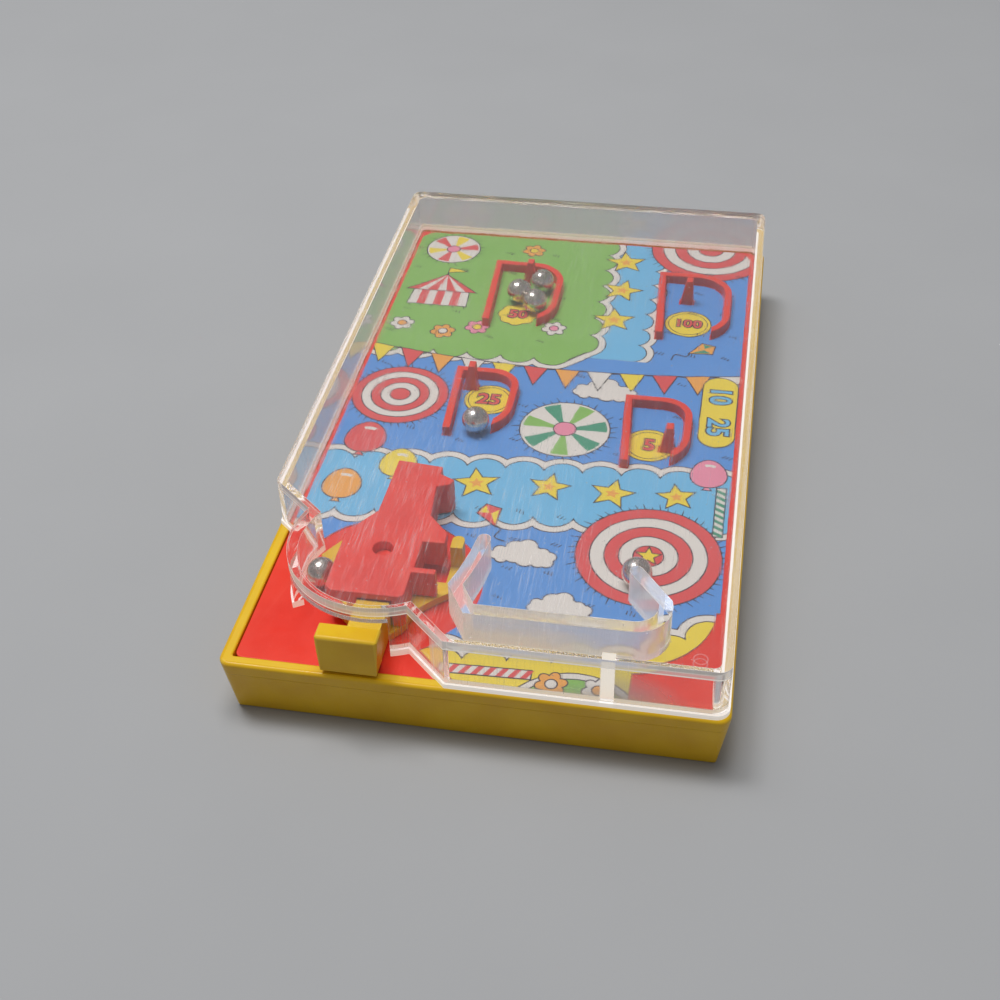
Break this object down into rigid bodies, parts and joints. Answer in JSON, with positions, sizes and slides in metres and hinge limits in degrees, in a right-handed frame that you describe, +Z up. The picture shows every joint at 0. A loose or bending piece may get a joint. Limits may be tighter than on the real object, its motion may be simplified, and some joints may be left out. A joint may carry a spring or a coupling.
{
  "type": "pocket dexterity game",
  "caption": "Hand-held dexterity game: shallow tray, printed playfield under a clear cover, open catchers, a turning ball pistol with an outside trigger button, and loose steel balls.",
  "frame": {"origin": "middle of the underside of the tray, on the table", "axes": "+X to the player's right, +Y away from the player along the length, +Z up"},
  "size_m": [0.071, 0.125, 0.0185],
  "materials": {
    "yellow_plastic": "glossy",
    "red_plastic": "glossy",
    "printed_card": "printed, satin",
    "clear_plastic": "clear, lightly scratched",
    "pistol_red": "satin",
    "trigger_yellow": "satin",
    "spring_steel": "bright wire",
    "ball_steel": "polished"
  },
  "bodies": {
    "case": {"tray": "yellow_plastic", "playfield_plate": "red_plastic", "printed_card": "printed_card", "clear_cover": "clear_plastic"},
    "pistol": {"pistol": "pistol_red", "trigger_spring": "spring_steel"},
    "trigger": {"trigger": "trigger_yellow"},
    "ball_back_1": {"ball_back_1": "ball_steel"},
    "ball_back_2": {"ball_back_2": "ball_steel"},
    "ball_back_3": {"ball_back_3": "ball_steel"},
    "ball_left": {"ball_left": "ball_steel"},
    "ball_pistol": {"ball_pistol": "ball_steel"},
    "ball_guide": {"ball_guide": "ball_steel"}
  },
  "joints": [
    {"name": "pistol_turn", "type": "hinge", "parent": "case", "child": "pistol", "pos_m": [-0.016, -0.0424, 0], "axis": [0, 0, 1], "range_deg": [-50, 0]},
    {"name": "trigger_press", "type": "slide", "parent": "pistol", "child": "trigger", "axis": [0, 1, 0], "range_m": [0, 0.0014], "stiffness_N_per_m": 200, "springref_m": -0.0015, "deforming": ["trigger_spring"]},
    {"name": "ball_back_1_roll", "type": "slide", "parent": "case", "child": "ball_back_1", "axis": [0, -1, 0], "range_m": [0, 0.0012]},
    {"name": "ball_back_2_roll", "type": "slide", "parent": "case", "child": "ball_back_2", "axis": [-1, 0, 0], "range_m": [0, 0.0021]},
    {"name": "ball_back_3_roll", "type": "slide", "parent": "case", "child": "ball_back_3", "axis": [-0.5, -0.866, 0], "range_m": [0, 0.006]},
    {"name": "ball_left_roll", "type": "slide", "parent": "case", "child": "ball_left", "axis": [0, 1, 0], "range_m": [0, 0.008]},
    {"name": "ball_pistol_roll", "type": "hinge", "parent": "pistol", "child": "ball_pistol", "pos_m": [-0.0248, -0.0449, 0.01175], "axis": [0, 1, 0], "continuous": true},
    {"name": "ball_guide_roll", "type": "slide", "parent": "case", "child": "ball_guide", "axis": [0, 1, 0], "range_m": [0, 0.018]}
  ]
}
